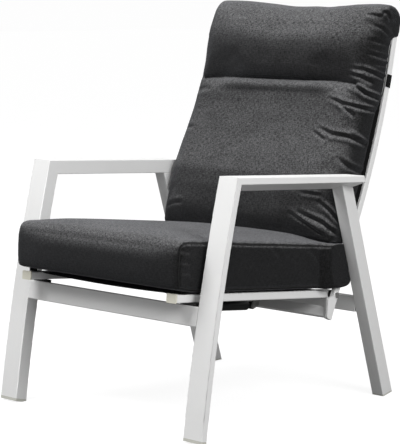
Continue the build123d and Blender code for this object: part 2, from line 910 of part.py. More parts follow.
def post_face_place(z_step, gap):
    """Place on the posts' front side, a distance up the bend, moved out by a gap."""
    turn = post_lean - z_step / post_bend_radius
    out = (math.cos(turn), -math.sin(turn))
    return step(bend_centre(), out, post_bend_radius - post_depth / 2 - gap)


def back_outline(x, crown, drop):
    bend_length = (post_lean - post_top_lean) * post_bend_radius
    gap = back_rear_gap + drop
    low_z = back_bottom_rear_z + drop
    low_rear = (post_front_y(low_z, gap), low_z)
    low_front = (back_bottom_front_y + drop, back_bottom_front_z + drop)
    sag = crown * head_sag_gain
    crease = (crease_y + drop, crease_z)
    head_front = (head_top_front_y + drop, head_top_front_z - drop - sag)
    head_top = (head_top_y, head_top_z - drop - sag)
    hood_top = (hood_top_y - drop, hood_top_z - drop - sag / 2)
    start, up, out = post_top_start()
    hood_out = post_depth / 2 + hood_pocket_gap + hood_thickness - drop / 2
    hem_rise = (hood_hem_z + drop - start[1]) / up[1]
    hem_middle = step(start, up, hem_rise)
    hem_rear = step(hem_middle, out, hood_out)
    hem_front = step(hem_middle, out, -post_depth / 2 - gap)
    bend_top = post_face_place(bend_length, gap)
    bend_low = post_face_place(0, gap)
    belly = (back_belly_y + drop - crown, back_belly_z)
    head_belly = (head_belly_y + drop - crown * head_crown_gain, head_belly_z)
    places = [low_rear, low_front, crease, head_front, head_top]
    places += [hood_top, hem_rear, hem_front, bend_top, bend_low]
    bulges = [
        None,
        belly,
        head_belly,
        between(head_front, head_top, -hood_bulge),
        between(head_top, hood_top, -hood_bulge),
        None,
        None,
        None,
        post_face_place(bend_length / 2, gap),
        None,
    ]
    return outline_face(x, places, bulges)


def hood_pocket():
    """Room for the post ends and the top tube inside the head section's hood."""
    depth = post_depth + hood_pocket_gap * 2
    section = Rectangle(back_half_width * 3, depth)
    return post_run(section, post_tail, -hood_pocket_gap)


def back_cushion():
    cushion = lofted(back_outline, back_half_width, cushion_edge_draw, back_crown, back_edge_drop)
    return cushion - hood_pocket()


def back_strap():
    """One elastic band from the cushion's side, behind both posts, to its other side."""
    turn = post_lean - back_strap_rise / post_bend_radius
    up = (math.sin(turn), math.cos(turn))
    out = (up[1], -up[0])
    place = step(bend_centre(), out, post_bend_radius)
    low = step(place, up, back_strap_height / -2)
    plane = Plane(origin=side(low), x_dir=(1, 0, 0), z_dir=way(up))
    width = (post_outer_x + strap_gap) * 2
    depth = post_depth + strap_gap * 2
    loop = extrude(plane * strap_loop(width, depth), back_strap_height)
    front = side(step(place, out, -post_depth / 2))
    return keep_side(loop, front, way(out))


def mirrored(shape):
    return mirror(shape, about=Plane.YZ)


def nodes():
    leg = front_leg_left()
    rear = rear_leg_left()
    arm = armrest_left()
    post = back_post_left()
    rail = seat_rail_left()
    parts = {
        "front_leg_left": leg,
        "front_leg_right": mirrored(leg),
        "rear_leg_left": rear,
        "rear_leg_right": mirrored(rear),
        "armrest_left": arm,
        "armrest_right": mirrored(arm),
        "armrest_end_caps": both_sides(armrest_end_cap()),
        "front_foot_caps": both_sides(front_foot_cap()),
        "rear_foot_caps": both_sides(rear_foot_cap()),
        "front_cross_tube": front_cross_tube(),
        "rear_cross_tube": rear_cross_tube(),
        "rear_tube_buffers": both_sides(rear_tube_buffer()),
        "seat_glides": both_sides(seat_glide()),
        "back_pivot_bolts": both_sides(pivot_bolt()),
        "back_pivot_spacers": both_sides(pivot_spacer()),
        "spring_front_bracket": spring_front_bracket(),
        "spring_front_pin": bracket_pin(spring_front, release_eye_width),
        "back_post_left": post,
        "back_post_right": mirrored(post),
        "back_post_plugs": post_plugs(),
        "back_lower_tube": back_lower_tube(),
        "back_top_tube": back_top_tube(),
        "back_sling": back_sling(),
        "spring_rear_bracket": spring_rear_bracket(),
        "spring_rear_pin": bracket_pin(spring_rear, spring_eye_width),
        "seat_hinge_bolts": both_sides(hinge_bolt()),
        "seat_hinge_nuts": both_sides(hinge_nut()),
        "seat_hinge_spacers": both_sides(hinge_spacer()),
        "seat_rail_left": rail,
        "seat_rail_right": mirrored(rail),
        "rail_front_caps": both_sides(rail_front_cap()),
        "rail_rear_caps": both_sides(rail_rear_cap()),
        "seat_cross_bar": seat_cross_bar(),
        "seat_sling": seat_sling(),
        "seat_cushion": seat_cushion(),
        "seat_cushion_straps": both_sides(seat_strap()),
        "back_cushion": back_cushion(),
        "back_cushion_strap": back_strap(),
        "gas_spring_cylinder": spring_cylinder(),
        "gas_spring_rod": spring_rod(),
        "gas_spring_release_head": release_head(),
    }
    return parts


os.makedirs("parts", exist_ok=True)
for name, shape in nodes().items():
    export_step(shape, "parts/" + name + ".step")
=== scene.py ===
import math

import bmesh
import bpy
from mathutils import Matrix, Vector, kdtree, noise


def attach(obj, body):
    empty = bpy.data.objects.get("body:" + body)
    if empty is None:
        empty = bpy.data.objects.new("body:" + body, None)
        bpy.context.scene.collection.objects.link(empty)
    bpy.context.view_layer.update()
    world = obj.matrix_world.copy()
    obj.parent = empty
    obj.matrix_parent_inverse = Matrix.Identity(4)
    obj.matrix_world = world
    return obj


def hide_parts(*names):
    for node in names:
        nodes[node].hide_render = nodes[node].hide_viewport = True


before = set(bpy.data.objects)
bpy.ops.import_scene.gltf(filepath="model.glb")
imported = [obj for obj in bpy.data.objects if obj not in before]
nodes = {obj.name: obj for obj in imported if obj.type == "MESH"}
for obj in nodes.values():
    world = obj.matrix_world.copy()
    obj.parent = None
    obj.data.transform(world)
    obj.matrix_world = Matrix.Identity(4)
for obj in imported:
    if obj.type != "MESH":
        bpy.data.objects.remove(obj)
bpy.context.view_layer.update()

scene = bpy.context.scene

# The side view is measured in millimetres: y to the rear from the foot of the front legs, z up.
FOOT_LINE = -417.66
MM = 0.001

CAMERA_PLACE = (3203.06, -3006.5, 1053.64)
CAMERA_TILT, CAMERA_TURN = 5.9398, 43.9035
CAMERA_LENS = 161.07
CAMERA_SHIFT = (0.0390, -0.0939)
LIGHT_TARGET = (0, 0, 0.5)


def at(x, y, z):
    """A point from side view millimetres to metres in the shared frame."""
    return Vector((x * MM, (y + FOOT_LINE) * MM, z * MM))


def measure(point):
    """A point from metres in the shared frame to side view millimetres."""
    return point.x / MM, point.y / MM - FOOT_LINE, point.z / MM


# ---------------------------------------------------------------- camera, floor and light
def set_camera():
    """The photo's camera, solved from the frame's straight edges."""
    data = bpy.data.cameras.new("camera")
    data.sensor_fit = "HORIZONTAL"
    data.sensor_width = 36.0
    data.lens = CAMERA_LENS
    data.shift_x, data.shift_y = CAMERA_SHIFT
    camera = bpy.data.objects.new("camera", data)
    scene.collection.objects.link(camera)
    camera.location = at(*CAMERA_PLACE)
    camera.rotation_euler = (math.radians(90 - CAMERA_TILT), 0, math.radians(CAMERA_TURN))
    scene.camera = camera


def area_light(name, place, size, power):
    """A square lamp that looks at the chair's middle."""
    data = bpy.data.lights.new(name, "AREA")
    data.shape = "RECTANGLE"
    data.size = data.size_y = size
    data.energy = power
    lamp = bpy.data.objects.new(name, data)
    scene.collection.objects.link(lamp)
    lamp.location = place
    direction = Vector(LIGHT_TARGET) - Vector(place)
    lamp.rotation_euler = direction.to_track_quat("-Z", "Y").to_euler()


def add_node(tree, kind, **values):
    """A new node, with the named inputs set."""
    node = tree.nodes.new(kind)
    for key, value in values.items():
        node.inputs[key.replace("_", " ")].default_value = value
    return node


def grey(level):
    return (level, level, level, 1)


def mix_by(tree, share, first, second, out):
    """Shows the first shader where the share is 0 and the second where it is 1."""
    mix = add_node(tree, "ShaderNodeMixShader")
    tree.links.new(share, mix.inputs["Fac"])
    tree.links.new(first.outputs[0], mix.inputs[1])
    tree.links.new(second.outputs[0], mix.inputs[2])
    tree.links.new(mix.outputs[0], out.inputs["Surface"])


def set_world():
    """White to the camera; a light that grows towards the zenith to every other ray."""
    world = bpy.data.worlds.new("studio")
    world.use_nodes = True
    scene.world = world
    tree = world.node_tree
    tree.nodes.clear()
    out = add_node(tree, "ShaderNodeOutputWorld")
    path = add_node(tree, "ShaderNodeLightPath")
    seen = add_node(tree, "ShaderNodeMath")
    seen.operation = "MAXIMUM"
    tree.links.new(path.outputs["Is Camera Ray"], seen.inputs[0])
    tree.links.new(path.outputs["Is Transmission Ray"], seen.inputs[1])
    coord = add_node(tree, "ShaderNodeTexCoord")
    split = add_node(tree, "ShaderNodeSeparateXYZ")
    tree.links.new(coord.outputs["Generated"], split.inputs[0])
    shift = add_node(tree, "ShaderNodeMapRange", From_Min=-1, From_Max=1)
    tree.links.new(split.outputs["Z"], shift.inputs["Value"])
    ramp = add_node(tree, "ShaderNodeValToRGB")
    for element, (place, level) in zip(ramp.color_ramp.elements, ((0.35, 0.09), (0.85, 1.0))):
        element.position = place
        element.color = grey(level)
    tree.links.new(shift.outputs["Result"], ramp.inputs["Fac"])
    light = add_node(tree, "ShaderNodeBackground", Strength=0.50)
    tree.links.new(ramp.outputs["Color"], light.inputs["Color"])
    white = add_node(tree, "ShaderNodeBackground", Color=grey(1), Strength=0.985)
    mix_by(tree, seen.outputs[0], light, white, out)


def floor_material():
    """White to the camera with the chair's soft shadow, and a dim floor to every other ray."""
    mat = bpy.data.materials.new("studio_floor")
    mat.use_nodes = True
    tree = mat.node_tree
    tree.nodes.clear()
    out = add_node(tree, "ShaderNodeOutputMaterial")
    path = add_node(tree, "ShaderNodeLightPath")
    lit = add_node(tree, "ShaderNodeBsdfDiffuse", Color=grey(0.32))
    glow = add_node(tree, "ShaderNodeEmission", Color=grey(1), Strength=0.85)
    both = add_node(tree, "ShaderNodeAddShader")
    tree.links.new(lit.outputs[0], both.inputs[0])
    tree.links.new(glow.outputs[0], both.inputs[1])
    dim = add_node(tree, "ShaderNodeBsdfDiffuse", Color=grey(0.20))
    mix_by(tree, path.outputs["Is Camera Ray"], dim, both, out)
    return mat


def set_floor():
    mesh = bpy.data.meshes.new("studio_floor")
    far = 40.0
    corners = [(-far, -far, 0), (far, -far, 0), (far, far, 0), (-far, far, 0)]
    mesh.from_pydata(corners, [], [(0, 1, 2, 3)])
    mesh.materials.append(floor_material())
    plane = bpy.data.objects.new("studio_floor", mesh)
    scene.collection.objects.link(plane)


set_camera()
set_world()
set_floor()
area_light("key", (-0.6, -2.0, 4.0), 2.4, 150)
area_light("side", (3.6, -0.6, 2.6), 2.0, 92)
scene.view_settings.view_transform = "Standard"


# ---------------------------------------------------------------- materials
class Nodes:
    """Small helper to write node materials."""

    def __init__(self, name):
        self.mat = bpy.data.materials.new(name)
        self.mat.use_nodes = True
        self.tree = self.mat.node_tree
        self.shader = self.tree.nodes["Principled BSDF"]

    def new(self, kind, **values):
        node = self.tree.nodes.new(kind)
        for key, value in values.items():
            setattr(node, key, value)
        return node

    def link(self, out, into):
        self.tree.links.new(out, into)

    def set(self, **values):
        for key, value in values.items():
            name = key.replace("_", " ").title().replace("Ior", "IOR")
            self.shader.inputs[name].default_value = value

    def mapping(self, source, scale):
        if source == "UV":
            out = self.new("ShaderNodeUVMap", uv_map="weave").outputs["UV"]
        else:
            out = self.new("ShaderNodeTexCoord").outputs["Object"]
        node = self.new("ShaderNodeMapping")
        node.inputs["Scale"].default_value = scale
        self.link(out, node.inputs["Vector"])
        return node.outputs["Vector"]

    def noise(self, vector, scale, detail=3.0, rough=0.5):
        node = self.new("ShaderNodeTexNoise")
        node.inputs["Scale"].default_value = scale
        node.inputs["Detail"].default_value = detail
        node.inputs["Roughness"].default_value = rough
        self.link(vector, node.inputs["Vector"])
        return node.outputs["Fac"]

    def ramp(self, value, stops):
        node = self.new("ShaderNodeValToRGB")
        while len(node.color_ramp.elements) < len(stops):
            node.color_ramp.elements.new(0.5)
        for element, (place, colour) in zip(node.color_ramp.elements, stops):
            element.position = place
            element.color = (*colour, 1)
        self.link(value, node.inputs["Fac"])
        return node.outputs["Color"]

    def bump(self, height, strength, distance):
        node = self.new("ShaderNodeBump")
        node.inputs["Strength"].default_value = strength
        node.inputs["Distance"].default_value = distance
        self.link(height, node.inputs["Height"])
        self.link(node.outputs["Normal"], self.shader.inputs["Normal"])

    def spread(self, value, low, high):
        node = self.new("ShaderNodeMapRange")
        node.inputs["To Min"].default_value = low
        node.inputs["To Max"].default_value = high
        self.link(value, node.inputs["Value"])
        return node.outputs["Result"]

    def join(self, kind, first, second):
        node = self.new("ShaderNodeMath", operation=kind)
        for index, value in enumerate((first, second)):
            if isinstance(value, (int, float)):
                node.inputs[index].default_value = value
            else:
                self.link(value, node.inputs[index])
        return node.outputs[0]

    def painted_top_light(self, colour, low, high):
        """Painted light: the colour scaled from low where the cloth faces sideways or down to high
        where it faces up, standing in for light from above.
        """
        coord = self.new("ShaderNodeTexCoord")
        split = self.new("ShaderNodeSeparateXYZ")
        self.link(coord.outputs["Normal"], split.inputs[0])
        share = self.new("ShaderNodeMapRange", interpolation_type="SMOOTHSTEP")
        share.inputs["From Min"].default_value = 0.06
        share.inputs["From Max"].default_value = 0.66
        share.inputs["To Min"].default_value = low
        share.inputs["To Max"].default_value = high
        self.link(split.outputs["Z"], share.inputs["Value"])
        scale = self.new("ShaderNodeVectorMath", operation="SCALE")
        self.link(colour, scale.inputs[0])
        self.link(share.outputs["Result"], scale.inputs["Scale"])
        return scale.outputs["Vector"]


def moulded(name, colour, rough, grain=0.06, spread=0.08, scale=700.0):
    """Paint, plastic or rubber: a faint cloud in the colour and a fine skin."""
    n = Nodes(name)
    soft = n.noise(n.mapping("Object", (1, 1, 1)), 9.0, 4.0)
    dark = tuple(c * (1 - spread) for c in colour)
    pale = tuple(min(1.0, c * (1 + spread / 2)) for c in colour)
    n.link(n.ramp(soft, [(0.3, dark), (0.7, pale)]), n.shader.inputs["Base Color"])
    fine = n.noise(n.mapping("Object", (1, 1, 1)), scale, 2.0)
    n.link(n.spread(fine, rough - 0.05, rough + 0.07), n.shader.inputs["Roughness"])
    n.bump(fine, grain, 0.0006)
    return n.mat


def brushed(name, colour, rough):
    """Bare metal with fine lines."""
    n = Nodes(name)
    lines = n.noise(n.mapping("Object", (1, 30, 30)), 60.0, 3.0)
    dark = tuple(c * 0.8 for c in colour)
    n.link(n.ramp(lines, [(0.35, dark), (0.65, colour)]), n.shader.inputs["Base Color"])
    n.link(n.spread(lines, rough - 0.08, rough + 0.12), n.shader.inputs["Roughness"])
    n.bump(lines, 0.08, 0.0003)
    n.set(metallic=1.0)
    return n.mat


def weave(name, dark, pale, pitch, sheen, melange=0.3, source="UV", fade=None):
    """Woven cloth: threads at their pitch, slubs along both and a faint cloud in one tone; a fade, when
    given, paints light from above into the colour.
    """
    n = Nodes(name)
    uv = n.mapping(source, (1, 1, 1))
    threads = []
    for direction in ("X", "Y"):
        wave = n.new("ShaderNodeTexWave", wave_type="BANDS", bands_direction=direction)
        wave.inputs["Scale"].default_value = 1.0 / pitch / 20.0 * 2 * math.pi
        wave.inputs["Distortion"].default_value = 1.2
        wave.inputs["Detail"].default_value = 1.0
        wave.inputs["Detail Scale"].default_value = 2.0
        n.link(uv, wave.inputs["Vector"])
        threads.append(wave.outputs["Fac"])
    weft = n.noise(n.mapping(source, (1.0, 5.0, 1.0)), 95.0, 3.0, 0.7)
    warp = n.noise(n.mapping(source, (5.0, 1.0, 1.0)), 95.0, 3.0, 0.7)
    slub = n.join("MULTIPLY", n.join("ADD", weft, warp), 0.5)
    knit = n.join("MULTIPLY", threads[0], threads[1])
    cloud = n.noise(n.mapping("Object", (1, 1, 1)), 14.0, 3.0)
    tone = n.join("ADD", n.join("MULTIPLY", slub, melange), n.join("MULTIPLY", knit, 0.12))
    tone = n.join("ADD", tone, n.join("MULTIPLY", cloud, 0.05))
    colour = n.ramp(tone, [(0.385, dark), (0.545, pale)])
    if fade:
        colour = n.painted_top_light(colour, *fade)
    n.link(colour, n.shader.inputs["Base Color"])
    height = n.join("ADD", n.join("MULTIPLY", knit, 0.7), n.join("MULTIPLY", slub, 0.25))
    n.bump(height, 0.55, 0.0005)
    n.set(roughness=0.92, sheen_weight=sheen, sheen_roughness=0.45, specular_ior_level=0.2)
    n.shader.inputs["Sheen Tint"].default_value = (0.9, 0.92, 1.0, 1)
    return n.mat


PAINT = moulded("white_powder_coat", (0.90, 0.90, 0.895), 0.42, 0.05, 0.02, 1100.0)
WHITE_PLASTIC = moulded("white_plastic", (0.86, 0.86, 0.85), 0.5, spread=0.03)
CREAM = moulded("cream_plastic", (0.74, 0.72, 0.62), 0.48, spread=0.05)
FOOT = moulded("foot_plastic", (0.66, 0.66, 0.60), 0.55, spread=0.06)
BLACK = moulded("black_plastic", (0.016, 0.016, 0.017), 0.5, 0.15, 0.3, 900.0)
RUBBER = moulded("black_rubber", (0.02, 0.02, 0.02), 0.7, grain=0.2, spread=0.3)
SPRING = moulded("black_enamel", (0.012, 0.012, 0.013), 0.32, grain=0.03, spread=0.25)
THREAD = moulded("seam_thread", (0.012, 0.012, 0.012), 0.85, 0.4, 0.3, 1500.0)
STEEL = brushed("zinc_steel", (0.55, 0.55, 0.54), 0.35)
CHROME = brushed("polished_rod", (0.78, 0.78, 0.78), 0.14)
# the cloth's fade is painted light: 0.16 of its colour where it faces sideways or down, up to 1.60
# where it faces up
CLOTH = weave("melange_cloth", (0.005, 0.005, 0.0051), (0.112, 0.112, 0.114), 0.0016, 0.20,
              melange=0.8, fade=(0.16, 1.60))
# near-black cloth for the back cushion's rear and side bands: painted shade, standing in for the shadow
# beside the posts
SHADE_CLOTH = weave("painted_shade_cloth", (0.002, 0.002, 0.002), (0.008, 0.008, 0.008), 0.0018, 0.0)
SLING = weave("mesh_sling", (0.008, 0.008, 0.008), (0.03, 0.03, 0.031), 0.0022, 0.1)
WEBBING = weave("strap_webbing", (0.005, 0.005, 0.005), (0.016, 0.016, 0.016), 0.0024, 0.05,
                source="Object")

NODE_MATERIALS = {
    PAINT: "front_leg_left front_leg_right rear_leg_left rear_leg_right armrest_left armrest_right "
           "front_cross_tube rear_cross_tube back_post_left back_post_right back_lower_tube "
           "back_top_tube seat_rail_left seat_rail_right seat_cross_bar",
    WHITE_PLASTIC: "armrest_end_caps back_post_plugs",
    FOOT: "front_foot_caps rear_foot_caps",
    CREAM: "rail_front_caps rail_rear_caps",
    RUBBER: "rear_tube_buffers",
    BLACK: "seat_glides back_pivot_spacers seat_hinge_spacers",
    STEEL: "back_pivot_bolts seat_hinge_bolts seat_hinge_nuts spring_front_bracket "
           "spring_rear_bracket spring_front_pin spring_rear_pin gas_spring_release_head",
    SPRING: "gas_spring_cylinder",
    CHROME: "gas_spring_rod",
    WEBBING: "seat_cushion_straps back_cushion_strap",
}
for material, names in NODE_MATERIALS.items():
    for name in names.split():
        for slot in nodes[name].material_slots:
            slot.material = material


# ---------------------------------------------------------------- mesh helpers
def new_object(name, mesh, material):
    """An object in the scene with that mesh and material."""
    mesh.materials.append(material)
    obj = bpy.data.objects.new(name, mesh)
    scene.collection.objects.link(obj)
    return obj


def lookup(table, place):
    """Straight interpolation in a table of (place, value) rows, held at its ends."""
    if place <= table[0][0]:
        return table[0][1]
    for (a, first), (b, last) in zip(table, table[1:]):
        if place <= b:
            return first + (last - first) * (place - a) / (b - a)
    return table[-1][1]


def ease(value):
    """Runs from 0 to 1 with soft ends."""
    value = max(0.0, min(1.0, value))
    return value * value * (3 - 2 * value)


def quarter(x, half, radius):
    """How far a rounded edge of that radius has run in at x."""
    over = abs(x) - (half - radius)
    return 0.0 if over <= 0 else radius - math.sqrt(max(0.0, radius * radius - over * over))


def smooth_line(points, count):
    """Catmull-Rom through the points, sampled evenly in its parameter."""
    ends = [points[0]] + list(points) + [points[-1]]
    spans = len(points) - 1
    line = []
    for index in range(count):
        place = index / count * spans
        k = min(int(place), spans - 1)
        t = place - k
        p0, p1, p2, p3 = ends[k:k + 4]
        line.append(tuple(
            0.5 * (2 * b + (c - a) * t + (2 * a - 5 * b + 4 * c - d) * t * t
                   + (3 * b - a - 3 * c + d) * t ** 3)
            for a, b, c, d in zip(p0, p1, p2, p3)
        ))
    return line


def shrink(ring, inset):
    """Moves a closed side view ring inward along its normals."""
    area = sum(a[0] * b[1] - b[0] * a[1] for a, b in zip(ring, ring[1:] + ring[:1]))
    turn = 1 if area > 0 else -1
    result = []
    for index, point in enumerate(ring):
        before, after = ring[index - 2], ring[(index + 2) % len(ring)]
        along = (after[0] - before[0], after[1] - before[1])
        size = math.hypot(*along) or 1.0
        result.append((
            point[0] - along[1] / size * turn * inset,
            point[1] + along[0] / size * turn * inset,
        ))
    return result


def loft_mesh(name, rings, stations):
    """Closed mesh from rings of the side view at x stations."""
    mesh = bpy.data.meshes.new(name)
    verts = [at(x, *point) for x, ring in zip(stations, rings) for point in ring]
    count = len(rings[0])
    faces = []
    for s in range(len(rings) - 1):
        for i in range(count):
            j = (i + 1) % count
            this, after = s * count, (s + 1) * count
            faces.append((this + i, this + j, after + j, after + i))
    faces.append(tuple(reversed(range(count))))
    faces.append(tuple(range((len(rings) - 1) * count, len(rings) * count)))
    mesh.from_pydata(verts, [], faces)
    bm = bmesh.new()
    bm.from_mesh(mesh)
    bmesh.ops.recalc_face_normals(bm, faces=bm.faces)
    bm.to_mesh(mesh)
    bm.free()
    return mesh


def edge_stations(half, radius, inner):
    """Places across the chair, each with how far a quarter-round edge has run in there."""
    steps = 5
    side = []
    for k in range(steps + 1):
        turn = math.pi / 2 * k / steps
        side.append((half - radius + radius * math.sin(turn), radius - radius * math.cos(turn)))
    left = [(-x, inset) for x, inset in reversed(side)]
    middle = [((half - radius) * (2 * k / inner - 1), 0.0) for k in range(1, inner)]
    return left + middle + side


def apply_modifiers(obj):
    """Replaces the mesh with what its modifiers make of it."""
    depsgraph = bpy.context.evaluated_depsgraph_get()
    mesh = bpy.data.meshes.new_from_object(obj.evaluated_get(depsgraph))
    old = obj.data
    obj.modifiers.clear()
    obj.data = mesh
    bpy.data.meshes.remove(old)


def remesh(obj, voxel):
    mod = obj.modifiers.new("remesh", "REMESH")
    mod.mode = "VOXEL"
    mod.voxel_size = voxel
    apply_modifiers(obj)


CLOTH_FRAMES = 14
SWELL_ROUNDS = 12


def soften(values, mesh, rounds):
    """Evens out one number per vertex over its neighbours."""
    pairs = [tuple(edge.vertices) for edge in mesh.edges]
    degree = [0] * len(values)
    for a, b in pairs:
        degree[a] += 1
        degree[b] += 1
    for _ in range(rounds):
        total = [0.0] * len(values)
        for a, b in pairs:
            total[a] += values[b]
            total[b] += values[a]
        values = [
            0.5 * value + 0.5 * around / max(1, count)
            for value, around, count in zip(values, total, degree)
        ]
    return values


def inflate(obj, held, cap, pressure, slack, bend):
    """Blows the cover up by cloth simulation and keeps the swell, evened out.

    held says how firmly each point stays, and cap how far it may swell.
    """
    start = [v.co.copy() for v in obj.data.vertices]
    normals = [v.normal.copy() for v in obj.data.vertices]
    group = obj.vertex_groups.new(name="held")
    for index, point in enumerate(start):
        weight = held(point)
        if weight > 0:
            group.add([index], weight, "REPLACE")
    cloth = obj.modifiers.new("cloth", "CLOTH")
    settings = cloth.settings
    settings.quality = 5
    settings.mass = 0.3
    settings.tension_stiffness = 15
    settings.compression_stiffness = 15
    settings.shear_stiffness = 5
    settings.bending_stiffness = bend
    settings.vertex_group_mass = "held"
    settings.shrink_min = -slack
    settings.use_pressure = True
    settings.uniform_pressure_force = pressure
    settings.effector_weights.gravity = 0
    cloth.point_cache.frame_start = 1
    cloth.point_cache.frame_end = CLOTH_FRAMES
    for step in range(1, CLOTH_FRAMES + 1):
        scene.frame_set(step)
    apply_modifiers(obj)
    scene.frame_set(1)
    moves = []
    for vertex, origin, normal in zip(obj.data.vertices, start, normals):
        swell = max(0.0, min(cap(origin), (vertex.co - origin).dot(normal)))
        moves.append(swell * (1 - held(origin)))
    moves = soften(moves, obj.data, SWELL_ROUNDS)
    for vertex, origin, normal, move in zip(obj.data.vertices, start, normals, moves):
        vertex.co = origin + normal * move * (1 - 0.7 * held(origin))
    obj.vertex_groups.clear()


def relax(obj):
    """One round of smoothing."""
    bm = bmesh.new()
    bm.from_mesh(obj.data)
    bmesh.ops.smooth_vert(
        bm, verts=list(bm.verts), factor=0.5, use_axis_x=True, use_axis_y=True, use_axis_z=True)
    bm.to_mesh(obj.data)
    bm.free()


def subdivide(obj):
    mod = obj.modifiers.new("subdivision", "SUBSURF")
    mod.levels = 1
    mod.render_levels = 1
    apply_modifiers(obj)


def shade_smooth(obj):
    for face in obj.data.polygons:
        face.use_smooth = True


def box_uv(obj, unroll=None):
    """Weave coordinates in metres, unrolled where cloth runs round an edge and flat elsewhere."""
    mesh = obj.data
    layer = mesh.uv_layers.get("weave") or mesh.uv_layers.new(name="weave")
    for face in mesh.polygons:
        n = face.normal
        size = (abs(n.x), abs(n.y), abs(n.z))
        axis = size.index(max(size))
        lay = unroll(face.center, n) if unroll else None
        for loop in face.loop_indices:
            p = mesh.vertices[mesh.loops[loop].vertex_index].co
            flat = ((p.y, p.z), (p.x, p.z), (p.x, p.y))[axis]
            layer.data[loop].uv = lay(p) if lay else flat


def near_line(points):
    """A function that gives a place's distance from a line of points, in metres."""
    tree = kdtree.KDTree(len(points))
    for index, point in enumerate(points):
        tree.insert(point, index)
    tree.balance()
    return lambda place: tree.find(place)[2]


def dense(points, closed=False):
    """The same line with points at a spacing of about 3 mm."""
    result = []
    for a, b in zip(points, points[1:] + (points[:1] if closed else [])):
        steps = max(1, int((b - a).length / 0.003))
        result += [a.lerp(b, k / steps) for k in range(steps)]
    return result


def groove(obj, distance, width, depth):
    """Sinks the surface along a line into a soft valley."""
    obj.data.update()
    moves = []
    for vertex in obj.data.vertices:
        d = distance(vertex.co)
        if d < width * 2.5:
            moves.append((vertex, vertex.normal.copy(), -depth * math.exp(-(d / width) ** 2)))
    for vertex, normal, move in moves:
        vertex.co += normal * move


def thread(name, points):
    """A seam's thread along a line."""
    curve = bpy.data.curves.new(name, "CURVE")
    curve.dimensions = "3D"
    curve.bevel_depth = 0.0010
    curve.bevel_resolution = 2
    spline = curve.splines.new("POLY")
    spline.points.add(len(points) - 1)
    for item, point in zip(spline.points, points):
        item.co = (*point, 1)
    temp = bpy.data.objects.new(name + "_curve", curve)
    scene.collection.objects.link(temp)
    depsgraph = bpy.context.evaluated_depsgraph_get()
    mesh = bpy.data.meshes.new_from_object(temp.evaluated_get(depsgraph))
    bpy.data.objects.remove(temp)
    obj = new_object(name, mesh, THREAD)
    shade_smooth(obj)
    return obj


# ---------------------------------------------------------------- posts and rails
PIVOT = (640.0, 415.0)
POST_HALF = 9.0
LOW_LEAN = math.radians(24)
HEAD_LEAN = math.radians(12.5)
BEND_R = 2100.0
BEND_START = (PIVOT[0] + 93.0 * math.sin(LOW_LEAN), PIVOT[1] + 93.0 * math.cos(LOW_LEAN))
BEND_CENTRE = (
    BEND_START[0] - BEND_R * math.cos(LOW_LEAN),
    BEND_START[1] + BEND_R * math.sin(LOW_LEAN),
)
RAIL_HINGE = (582.65, 286.19)
RAIL_SLOPE = math.tan(math.radians(5.57))
RAIL_HALF = 10.05


def post_line(z, out):
    """Depth of the posts' middle line at a height, moved square to it to the rear."""
    if z < BEND_START[1]:
        return PIVOT[0] + (z - PIVOT[1]) * math.tan(LOW_LEAN) + out / math.cos(LOW_LEAN)
    top = BEND_CENTRE[1] - BEND_R * math.sin(HEAD_LEAN)
    if z > top:
        y = BEND_CENTRE[0] + BEND_R * math.cos(HEAD_LEAN)
        return y + (z - top) * math.tan(HEAD_LEAN) + out / math.cos(HEAD_LEAN)
    drop = BEND_CENTRE[1] - z
    return BEND_CENTRE[0] + math.sqrt((BEND_R + out) ** 2 - drop * drop)


def post_front(z, gap):
    """Depth of a line that far in front of the posts."""
    return post_line(z, -(POST_HALF + gap))


def rail_middle(y):
    return RAIL_HINGE[1] - (y - RAIL_HINGE[0]) * RAIL_SLOPE


def rail_top(y):
    return rail_middle(y) + RAIL_HALF


# what both cushions share: remesh size, how near a seam the cloth is held, and a seam's valley
VOXEL = 0.0055
SEAM_REACH = 0.006
SEAM_GROOVE = (0.0032, 0.0024)


# ---------------------------------------------------------------- seat cushion
SEAT_HALF = 290.0
SEAT_EDGE = 11.0
SEAT_SHRINK = 1.5
SEAT_CROWN = 14.0
# the seat cushion's folds: places on its side panels, width and depth in millimetres
SEAT_PUCKERS = [
    ([(4, 462), (22, 458), (44, 456)], 4.5, 1.3),
    ([(2, 438), (20, 432), (38, 431)], 4.5, 1.2),
    ([(2, 410), (24, 407), (50, 402)], 4.5, 1.4),
    ([(4, 386), (22, 384), (36, 379)], 4.5, 1.1),
    ([(150, 462), (172, 446), (190, 436)], 6.0, 1.0),
    ([(330, 442), (352, 424), (366, 410)], 6.0, 1.0),
    ([(470, 420), (498, 404), (520, 384)], 6.0, 1.3),
    ([(540, 408), (562, 388), (580, 352)], 6.0, 1.8),
]


def seat_top(y):
    """Height of the top edge along the side seam."""
    return 484.0 - (y - 29.0) * 0.1145


def seat_ring(crown):
    """Side view of the seat cushion: upright front, top falling to the rear."""
    edge = (17, 482.5 + crown * 0.25)
    front = [(14, 361), (0, 364), (-6, 375), (-7, 402), (-5.5, 432), (-2.5, 455), (4, 473), edge]
    top = [edge, (42, seat_top(42) + crown * 0.5), (120, seat_top(120) + crown * 0.9),
           (300, seat_top(300) + crown), (460, seat_top(460) + crown),
           (560, seat_top(560) + crown * 0.8), (599, 416 + crown * 0.4), (611, 403)]
    low_rear = (556, rail_top(556) + 4)
    rear = [(611, 402), (post_front(370, 3), 370), (post_front(340, 3), 336), (574, 312), low_rear]
    bottom = [low_rear, (300, rail_top(300) + 3), (90, rail_top(90) + 3), (44, 353), (14, 361)]
    return (smooth_line(front, 60) + smooth_line(top, 90)
            + smooth_line(rear, 30) + smooth_line(bottom, 80))


def seat_rings():
    """The seat cushion's places across the chair and its side view at each."""
    stations, rings = [], []
    for x, inset in edge_stations(SEAT_HALF, SEAT_EDGE, 12):
        share = min(1.0, abs(x) / SEAT_HALF)
        stations.append(x)
        rings.append(shrink(seat_ring(SEAT_CROWN * (1 - share ** 3)), inset + SEAT_SHRINK))
    return stations, rings


